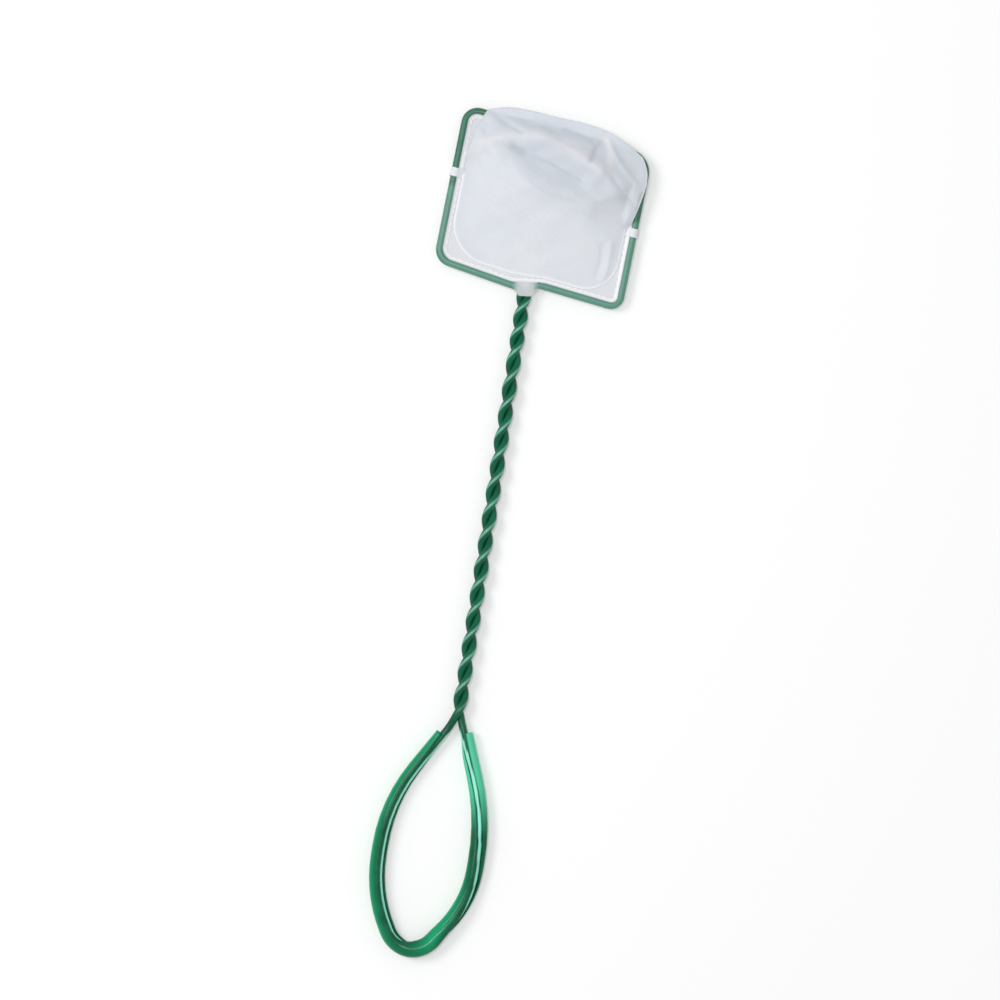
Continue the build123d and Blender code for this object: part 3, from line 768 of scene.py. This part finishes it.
def sleeve_values(share):
    """The slit's angle, half its opening and the sleeve's radius at shares of the loop, evened out."""
    columns = []
    for values in (SLIT_ANGLES, SLIT_OPENINGS, SLEEVE_RADII):
        exact = np.interp(share, SLEEVE_SHARES, values)
        padded = np.pad(exact, SLEEVE_EASE // 2, mode="edge")
        columns.append(np.convolve(padded, np.full(SLEEVE_EASE, 1 / SLEEVE_EASE), mode="valid"))
    return zip(*columns)


def sleeve_section(angle, half, radius):
    """A section of the sleeve's wall, from one lip of its slit to the other and back, inwards and up."""
    lip = degrees(LIP_RADIUS / radius)
    near_lip = [half, half + lip * LIP_SHARE]
    body = np.linspace(half + lip, 360 - half - lip, SKIN_COLUMNS)
    outer = np.concatenate((near_lip, body, [360 - place for place in reversed(near_lip)]))
    sink = SLIT_SINK * (1 - smooth((np.minimum(outer, 360 - outer) - half) / SLIT_SINK_ANGLE))
    sink[[0, -1]] += LIP_RADIUS
    sink[[1, -2]] += LIP_RADIUS * LIP_SHARE
    bore_half = min(half * BORE_SPREAD, BORE_HALF_MOST)
    bore = np.linspace(360 - bore_half, bore_half, BORE_COLUMNS)
    turn = radians(angle)
    lowest = radius - NECK[2]
    middle = np.array((-SLEEVE_OFFSET * sin(turn), max(-SLEEVE_OFFSET * cos(turn), lowest)))
    outer_turn, bore_turn = turn + np.radians(outer), turn + np.radians(bore)
    skin = middle + (radius - sink)[:, None] * np.stack((np.sin(outer_turn), np.cos(outer_turn)), axis=1)
    inside = SLEEVE_BORE * np.stack((np.sin(bore_turn), np.cos(bore_turn)), axis=1)
    return np.concatenate((skin, inside))


def make_sleeve(loop):
    """The slit sleeve on the hanging loop, opened wide at its two ends."""
    length = run_lengths(loop)[-1]
    first, last = SLEEVE_SETBACKS[0], length - SLEEVE_SETBACKS[1]
    places = np.linspace(first, last, ceil((last - first) / SLEEVE_STEP) + 1)
    middles = at_lengths(loop, places)
    inward, rise = loop_ways(loop, places)
    values = list(sleeve_values(places / length))
    sections = np.array([sleeve_section(*value) for value in values])
    rings = middles[:, None] + sections[..., :1] * inward[:, None] + sections[..., 1:] * rise[:, None]
    # Painted broad light on the upper right leg
    stretched = smooth((places / length - STRETCH_SHARES[0]) / (STRETCH_SHARES[1] - STRETCH_SHARES[0]))
    # Painted lighter away from the slit, for light through the clear plastic
    away = from_slit(sections[..., 0], sections[..., 1], np.array(values)[:, :1])
    # Painted shade at the crown: the painted light is taken away there
    wrung = WRUNG_DARK * band(places / length - WRUNG_SHARE, WRUNG_WIDTH)
    clear = smooth((away - CLEAR_ANGLES[0]) / (CLEAR_ANGLES[1] - CLEAR_ANGLES[0])) * (1 - wrung)[:, None]
    stretched = np.repeat(stretched, rings.shape[1])
    faces = tube_faces(*rings.shape[:2])
    sleeve = make_mesh("slit_sleeve", rings, faces, sleeve_material, clear=clear, stretched=stretched)
    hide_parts("grip_sleeve")


# The hem


def half_path(far, inset, radii, start):
    """Half of the frame's outline, inset, from the left seam to the right in steps that always match."""
    way = 1 if far else -1
    left, right = inset - FRAME_HALF, FRAME_HALF - inset
    edge = FRAME_REACH - inset if far else inset
    turns = np.linspace(0, pi / 2, ARC_COLUMNS)
    left_start, right_start = [place + way * start for place in SEAM_PLACES]
    left_side = np.linspace((left, left_start), (left, edge - way * radii[0]), SIDE_COLUMNS + 1)[:-1]
    arc = np.stack((1 - np.cos(turns), -way * (1 - np.sin(turns))), axis=1)
    left_arc = np.array((left, edge)) + radii[0] * arc
    right_arc = np.array((right, edge)) + radii[1] * arc * np.array((-1, 1))
    bar = np.linspace(left_arc[-1], right_arc[-1], BAR_COLUMNS + 2)[1:-1]
    right_side = np.linspace((right, edge - way * radii[1]), (right, right_start), SIDE_COLUMNS + 1)[1:]
    path = np.concatenate((left_side, left_arc, bar, right_arc[::-1], right_side))
    if not far:
        share = 1.0 if inset < WIRE_RADIUS else EDGE_SAG_SHARE
        path[:, 1] += np.interp(path[:, 0], *NECK_SAG) * share * (path[:, 1] < SEAM_ALONG / 2)
    return path


def inward_ways(wire, edge):
    """The direction square to a path, towards its inner edge, at each of its places."""
    ways = unit(np.gradient(wire, axis=0))
    square = np.stack((-ways[:, 1], ways[:, 0]), axis=1)
    return square * np.sign(np.sum(square * (edge - wire), axis=1, keepdims=True))


def casing(wire, edge, radius, closes, flap):
    """Points from the sewn edge round the wire and back, their plan, and how closed each column is."""
    way = inward_ways(wire, edge)[:, None]
    closing = wire[:, None] + way * closes
    strip = np.linspace(0, 1, STRIP_COLUMNS)
    strip_plan = edge[:, None] + strip[:, None] * (closing - edge[:, None])
    strip_up = np.full(STRIP_COLUMNS, HEM_GAP)
    tangent = acos(radius / closes)
    slope = np.linspace(0, 1, SLOPE_COLUMNS + 2)[1:-1]
    slope_out = closes + slope * (radius * cos(tangent) - closes)
    slope_up = HEM_GAP + slope * (radius * sin(tangent) - HEM_GAP)
    slope_plan = wire[:, None] + way * slope_out[:, None]
    angle = np.linspace(tangent, 2 * pi - tangent, ROUND_COLUMNS)
    bulge = np.clip(-FLAP_FULLNESS * np.cos(angle), 0, 1)
    round_out = radius * np.cos(angle) - flap[:, None] * bulge
    round_plan = wire[:, None] + way * round_out[..., None]
    flat = np.minimum(flap / FLAP_REACH, 1)[:, None] * bulge
    round_up = radius * (np.sin(angle) + flat * (np.sign(np.sin(angle).round(6)) - np.sin(angle)))
    back = slope_plan[:, ::-1], strip_plan[:, ::-1]
    plan = np.concatenate((strip_plan, slope_plan, round_plan, *back), axis=1)
    wide = np.ones((len(wire), 1))
    back = -wide * slope_up[::-1], -wide * strip_up
    up = np.concatenate((wide * strip_up, wide * slope_up, round_up, *back), axis=1)
    closed = np.concatenate((strip * 0, 1 - slope**2, angle * 0, 1 - slope[::-1] ** 2, strip * 0))
    return in_frame(plan[..., 0], plan[..., 1], up), plan, closed


def weave_places(points):
    """Places on the cloth for its weave, along and across a grid of points."""
    along = np.cumsum(np.linalg.norm(np.diff(points, axis=0, prepend=points[:1]), axis=2), axis=0)
    across = np.cumsum(np.linalg.norm(np.diff(points, axis=1, prepend=points[:, :1]), axis=2), axis=1)
    middle = points.shape[1] // 2
    steady = np.repeat(along[:, middle : middle + 1], points.shape[1], axis=1)
    return np.stack((steady, across), axis=-1).reshape(-1, 2)


def make_casing(name, paths, sizes, plies, flap, node):
    """A casing of netting round the frame wire, open where the strands leave it at the neck."""
    wire, edge = paths
    points, plan, closed = casing(wire, edge, *sizes, flap)
    rows, columns = points.shape[:2]
    strip_plies, closed_plies, veil_plies = plies
    in_strip = np.minimum(np.arange(columns), columns - 1 - np.arange(columns)) < STRIP_COLUMNS
    open_plies = np.where(in_strip, strip_plies, veil_plies)
    cover = np.tile(open_plies + (closed_plies - open_plies) * closed, (rows, 1))
    covered = np.minimum(flap / FLAP_REACH, 1)[:, None] * ~in_strip
    cover = cover + np.maximum(FLAP_PLIES - cover, 0) * covered
    faces = grid_faces(rows, columns)
    row, column = faces[:, 0] // columns, faces[:, 0] % columns
    at_mouth = (np.abs(wire[row, 0] - FLAP_MIDDLE) < FLAP_OPENING) & (flap[row] > FLAP_REACH / 2)
    outermost = np.abs(column + 0.5 - (columns - 1) / 2) < MOUTH_COLUMNS
    faces = faces[~(at_mouth & outermost)]
    column = faces[:, 0] % columns
    flat = in_strip[column] & in_strip[column + 1]
    uv = np.where(flat[:, None, None], plan.reshape(-1, 2)[faces], weave_places(points)[faces])
    pale = np.tile(closed, (rows, 1))
    piece = make_mesh(name, points, faces, hem_material, uv, plies=cover, pale=pale)
    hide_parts(node)
    return piece


def hem_paths(far):
    """The wire's middle and the sewn edge along one half of the hem."""
    wire = half_path(far, 0.0, FAR_RADII if far else NEAR_RADII, SEAM_HALF)
    edge = half_path(far, HEM_WIDTH, (HEM_CORNER_RADIUS, HEM_CORNER_RADIUS), SEAM_HALF)
    return wire, edge


def make_hem(name, far, node):
    """One half of the hem, with the flap at the neck on the near one."""
    wire, edge = hem_paths(far)
    near_neck = (FLAP_HALF - np.abs(wire[:, 0] - FLAP_MIDDLE)) / FLAP_SLANT
    flap = FLAP_REACH * smooth(near_neck) * (wire[:, 1] < SEAM_ALONG / 2)
    plies = (STRIP_PLIES, CLOSED_PLIES, VEIL_PLIES[far])
    return make_casing(name, (wire, edge), (HEM_RADIUS, HEM_CLOSES), plies, flap, node)


def make_seam_end(name, side, middle, node):
    """The thick end of a side seam, wrapped round the side bar."""
    along = np.linspace(middle - SEAM_HALF, middle + SEAM_HALF, SEAM_COLUMNS)
    wire = np.stack((np.full(SEAM_COLUMNS, side * FRAME_HALF), along), axis=1)
    edge = np.stack((np.full(SEAM_COLUMNS, side * (FRAME_HALF - SEAM_STRIP)), along), axis=1)
    plies = (SEAM_PLIES,) * 3
    flap = np.zeros(SEAM_COLUMNS)
    make_casing(name, (wire, edge), (SEAM_RADIUS, SEAM_CLOSES), plies, flap, node)


def make_stitches(name):
    """The row of stitches that closes the hem's casing, on its two faces."""
    points, faces = [], []
    thick = STITCH_RADIUS * np.array(STITCH_TAPER)
    lift = HEM_GAP + STITCH_RADIUS * STITCH_LIFT
    for far in (False, True):
        wire, edge = hem_paths(far)
        line = wire + inward_ways(wire, edge) * HEM_CLOSES
        for start in np.arange(STITCH_START, run_lengths(line)[-1] - STITCH_LENGTH, STITCH_PITCH):
            run = at_lengths(line, np.linspace(start, start + STITCH_LENGTH, len(thick)))
            for face in (1, -1):
                rings = tube(in_frame(run[:, 0], run[:, 1], face * lift), 1.0, STITCH_SIDES)
                middles = rings.mean(axis=1, keepdims=True)
                rings = middles + (rings - middles) * thick[:, None, None]
                base = len(points) * len(thick) * STITCH_SIDES
                faces += [[base + corner for corner in quad] for quad in tube_faces(len(thick), STITCH_SIDES)]
                points.append(rings)
    piece = make_mesh(name, np.concatenate(points), faces, stitch_material)
    return piece


# The bag


def distances(points, across, along, rounds=3):
    """How far places lie from a line with its corners cut."""
    line = softened(points, rounds)
    place = np.stack((across, along), axis=-1)
    nearest = np.full(across.shape, np.inf)
    for start, end in zip(line, line[1:]):
        run = end - start
        share = np.clip(((place - start) @ run) / (run @ run), 0, 1)
        nearest = np.minimum(nearest, np.linalg.norm(place - start - share[..., None] * run, axis=-1))
    return nearest


def undulation(across, along, seed, longest, shortest):
    """Soft waves in many directions, of about 1 in height."""
    random = np.random.default_rng(seed)
    waves = np.zeros(across.shape)
    for _ in range(WAVE_COUNT):
        way = random.uniform(0, pi)
        wave_length = random.uniform(shortest, longest)
        phase = random.uniform(0, 2 * pi)
        place = across * cos(way) + along * sin(way)
        waves = waves + np.sin(2 * pi * place / wave_length + phase)
    return waves / WAVE_COUNT**0.5


def bag_rim(far):
    """Where one of the bag's panels is sewn to its hem."""
    return half_path(far, RIM_INSET, (RIM_RADIUS, RIM_RADIUS), 0.0)


def bag_sides(count):
    """The near panel's left and right edge, from a count of columns down its rim up to its end."""
    rim = bag_rim(False)
    left = np.concatenate((rim[:count][::-1], softened(LEFT_SEAM)[1:]))
    right = np.concatenate((rim[-count:], softened(RIGHT_SEAM)[1:]))
    return left, right


LEFT_EDGE, RIGHT_EDGE = bag_sides(SIDE_COLUMNS + ARC_COLUMNS)
END_EDGE = softened(END_LINE)


def bag_spans(across, along):
    """The middle and half width of the bag at places, and how far they lie from its end."""
    left = np.interp(along, LEFT_EDGE[:, 1], LEFT_EDGE[:, 0])
    right = np.interp(along, RIGHT_EDGE[:, 1], RIGHT_EDGE[:, 0])
    return (left + right) / 2, (right - left) / 2, np.interp(across, END_EDGE[:, 0], END_EDGE[:, 1]) - along


def bag_height(across, along):
    """The near panel's height over the wire, a pillow with folds."""
    middle, half, to_end = bag_spans(across, along)
    rim = RIM_REST + (RIM_OVER - RIM_REST) * smooth((along - RIM_LEAVES) / RIM_CLIMB)
    over_right = RIM_OVER * smooth((across - BULGE_ACROSS) / BULGE_WIDTH)
    rim = np.maximum(rim, over_right * smooth((along - BULGE_ALONG) / BULGE_CLIMB))
    pillow = 1 - np.minimum(np.abs(across - middle) / half, 1) ** PILLOW_POWER
    height = rim + (BAG_CROWN - rim) * smooth(along / CROWN_PLACE) * smooth(to_end / CROWN_FALL) * pillow
    edge = np.minimum(np.minimum(half - np.abs(across - middle), along - RIM_INSET), to_end)
    growth = WAVE_LEAST + WAVE_GROWTH * smooth((along - WAVE_FROM) / WAVE_CLIMB)
    folds = undulation(across, along, *NEAR_WAVES) * growth * smooth(edge / FOLD_MARGIN)
    for kind, power, margin in FOLD_KINDS:
        for rise, width, line in kind:
            fold = rise * band(distances(line, across, along), width, power)
            folds = folds + fold * smooth(edge / margin)
    return np.maximum(height + folds, rim)


def grid_between(bottom, top, left, right, columns, rows):
    """A grid of places between four lines."""
    bottom, top = resample(bottom, columns)[None], resample(top, columns)[None]
    left, right = resample(left, rows)[:, None], resample(right, rows)[:, None]
    over = np.linspace(0, 1, columns + 1)[None, :, None]
    up = np.linspace(0, 1, rows + 1)[:, None, None]
    ruled = (1 - up) * bottom + up * top + (1 - over) * left + over * right
    lower = (1 - over) * bottom[:, :1] + over * bottom[:, -1:]
    upper = (1 - over) * top[:, :1] + over * top[:, -1:]
    return ruled - ((1 - up) * lower + up * upper)


def make_panel(name, points, **values):
    """A panel of the bag, from a grid of points."""
    faces = grid_faces(*points.shape[:2])
    return make_mesh(name, points, faces, bag_material, weave_places(points), **values)


def make_near_panel():
    """The panel that lies on top, from the near hem to past the far bar."""
    rim = bag_rim(False)
    corner = SIDE_COLUMNS + ARC_COLUMNS // 2
    bottom = rim[corner : len(rim) - corner]
    places = grid_between(bottom, END_EDGE, *bag_sides(corner + 1), NEAR_STEPS, NEAR_STEPS)
    across, along = places[..., 0], places[..., 1]
    points = in_frame(across, along, bag_height(across, along))
    sewn = band(distances(rim, across, along, 0), RIM_SEAM_WIDTH)
    # Painted shade in the creases
    bunched = np.zeros(across.shape)
    for share, width, line in CREASES:
        bunched = np.maximum(bunched, share * band(distances(line, across, along), width))
    # Pale where sewn, and a painted highlight along the highlight folds
    pale = sewn
    for width, line in PALE_FOLDS:
        pale = np.maximum(pale, band(distances(line, across, along), width))
    piece = make_panel("bag_near_cloth", points, plies=1 + RIM_PLIES * sewn, pale=pale, bunched=bunched)
    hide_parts("bag_near_panel")
    return piece


def far_places(across_share, way_share):
    """The far panel's places, from its hem in to the lip of its fold and back to the seam."""
    start = resample(bag_rim(True), FAR_COLUMNS)[None]
    end = resample(END_EDGE, FAR_COLUMNS)[None]
    lip = resample(softened(LIP_LINE), FAR_COLUMNS)[None]
    left_seam = resample(softened(LEFT_SEAM), FAR_ROWS)[:, None]
    right_seam = resample(softened(RIGHT_SEAM), FAR_ROWS)[:, None]
    pull = 2 * lip - (start + end) / 2
    folded = (1 - way_share) ** 2 * start + 2 * way_share * (1 - way_share) * pull + way_share**2 * end
    left_free, right_free = smooth(across_share / SEAM_BLEND), smooth((1 - across_share) / SEAM_BLEND)
    return folded * left_free * right_free + left_seam * (1 - left_free) + right_seam * (1 - right_free)


def far_height(across, along, from_side, share):
    """The far panel's height over the wire, always under the near panel."""
    waves = undulation(across, along + FAR_WAVE_SHIFT * share, *FAR_WAVES)
    body = np.sin(pi * share) * smooth(from_side / BODY_MARGIN)
    rim = RIM_REST + (RIM_OVER - RIM_REST) * smooth((share - CLIMB_START) / CLIMB_LENGTH)
    height = rim + (FAR_RISE + FAR_WAVE_HEIGHT * waves) * body
    over_bar = BAR_COVER * smooth((along - BAR_START) / BAR_CLIMB) * smooth((share - LIP_PLACE) / BAR_SHARE)
    height = np.maximum(np.maximum(height, FAR_LEAST), over_bar)
    edge = np.minimum(np.minimum(share, 1 - share) / END_TUCK, from_side / SIDE_TUCK)
    return np.minimum(height, bag_height(across, along) - PANEL_GAP * np.clip(edge, 0, 1))


def make_far_panel():
    """The panel that is sewn to the far hem and lies folded in under the other one."""
    across_share = np.linspace(0, 1, FAR_COLUMNS + 1)[None, :, None]
    way_share = np.linspace(0, 1, FAR_ROWS + 1)[:, None, None]
    places = far_places(across_share, way_share)
    across, along = places[..., 0], places[..., 1]
    from_side = np.minimum(across_share, 1 - across_share)[..., 0]
    share = np.broadcast_to(way_share[..., 0], across.shape)
    points = in_frame(across, along, far_height(across, along, from_side, share))
    # Denser along the fold's lip, and painted pale there as a painted highlight
    at_lip = band(share - LIP_PLACE, LIP_WIDTH)
    piece = make_panel("bag_far_cloth", points, plies=1 + at_lip, pale=at_lip)
    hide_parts("bag_far_panel")
    return piece


def make_bag_seam():
    """The rolled seam along the bag's sides and end."""
    left, right = softened(LEFT_SEAM), softened(RIGHT_SEAM)
    line = resample(np.concatenate((left, END_EDGE[1:], right[::-1][1:])), ROLL_STEPS)
    points = in_frame(line[:, 0], line[:, 1], bag_height(line[:, 0], line[:, 1]) - ROLL_SINK)
    rings = tube(points, ROLL_RADIUS, ROLL_SIDES)
    faces = tube_faces(len(points), ROLL_SIDES)
    uv = weave_places(rings)
    piece = make_mesh("bag_seam", rings, faces, bag_material, uv, plies=np.ones(len(uv)))
    return piece


left_strand, right_strand = strand(-1), strand(1)
loop_line = loop_wire(left_strand, right_strand)
make_wire(left_strand, right_strand, loop_line)
make_sleeve(loop_line)
near_hem = make_hem("hem_near_cloth", False, "hem_near")
far_hem = make_hem("hem_far_cloth", True, "hem_far")
make_seam_end("seam_end_left", -1, SEAM_PLACES[0], "side_seam_left")
make_seam_end("seam_end_right", 1, SEAM_PLACES[1], "side_seam_right")
stitches = make_stitches("hem_stitches")
near_panel = make_near_panel()
far_panel = make_far_panel()
bag_seam = make_bag_seam()


# Floor, light and camera


def seen_rays(nodes, links, unseen, seen):
    """One value for rays that are seen, straight, mirrored or through glass, and another for light."""
    rays = nodes.new("ShaderNodeLightPath")
    either = math_node(nodes, links, "ADD", rays.outputs["Is Camera Ray"], rays.outputs["Is Glossy Ray"])
    either = math_node(nodes, links, "ADD", either, rays.outputs["Is Transmission Ray"])
    strength = nodes.new("ShaderNodeMapRange")
    strength.inputs["To Min"].default_value = unseen
    strength.inputs["To Max"].default_value = seen
    links.new(either, strength.inputs["Value"])
    return strength.outputs["Result"]


def make_floor():
    """A pale floor that keeps the object's shadow."""
    half = FLOOR_SIZE / 2
    level = CAD_LOW[2]
    mesh = bpy.data.meshes.new("floor")
    corners = [(-half, -half, level), (half, -half, level), (half, half, level), (-half, half, level)]
    mesh.from_pydata(corners, [], [(0, 1, 2, 3)])
    floor = bpy.data.objects.new("floor", mesh)
    bpy.context.scene.collection.objects.link(floor)
    material, nodes, links, shader = new_material("floor_white")
    shader.inputs["Base Color"].default_value = FLOOR_COLOUR
    shader.inputs["Emission Color"].default_value = WHITE
    links.new(seen_rays(nodes, links, 0.0, FLOOR_GLOW), shader.inputs["Emission Strength"])
    shader.inputs["Roughness"].default_value = FLOOR_ROUGHNESS
    shader.inputs["Specular IOR Level"].default_value = 0.0
    mesh.materials.append(material)


def make_lamp(name, place, size, power):
    """A square softbox that faces the middle of the net."""
    data = bpy.data.lights.new(name, "AREA")
    data.size = size
    data.energy = power
    lamp = bpy.data.objects.new(name, data)
    lamp.location = place
    lamp.rotation_euler = (Vector(CAMERA_AIM) - Vector(place)).to_track_quat("-Z", "Y").to_euler()
    bpy.context.scene.collection.objects.link(lamp)


def make_world():
    """An even white room, softer as light than as seen."""
    world = bpy.data.worlds.new("studio")
    bpy.context.scene.world = world
    world.use_nodes = True
    nodes, links = world.node_tree.nodes, world.node_tree.links
    background = nodes["Background"]
    background.inputs["Color"].default_value = WHITE
    links.new(seen_rays(nodes, links, ROOM_LIGHT, 1.0), background.inputs["Strength"])


def make_camera():
    """A camera straight over the net, turned as the net lies in the photo."""
    data = bpy.data.cameras.new("camera")
    data.sensor_width = SENSOR
    data.lens = SENSOR * CAMERA_HEIGHT / CAMERA_SPAN
    camera = bpy.data.objects.new("camera", data)
    camera.location = Vector(CAMERA_AIM) + Vector((0, 0, CAMERA_HEIGHT))
    camera.rotation_euler = (0, 0, radians(CAMERA_ROLL))
    bpy.context.scene.collection.objects.link(camera)
    bpy.context.scene.camera = camera


make_floor()
for lamp in LAMPS:
    make_lamp(*lamp)
make_world()
make_camera()
bpy.context.scene.view_settings.view_transform = "Standard"
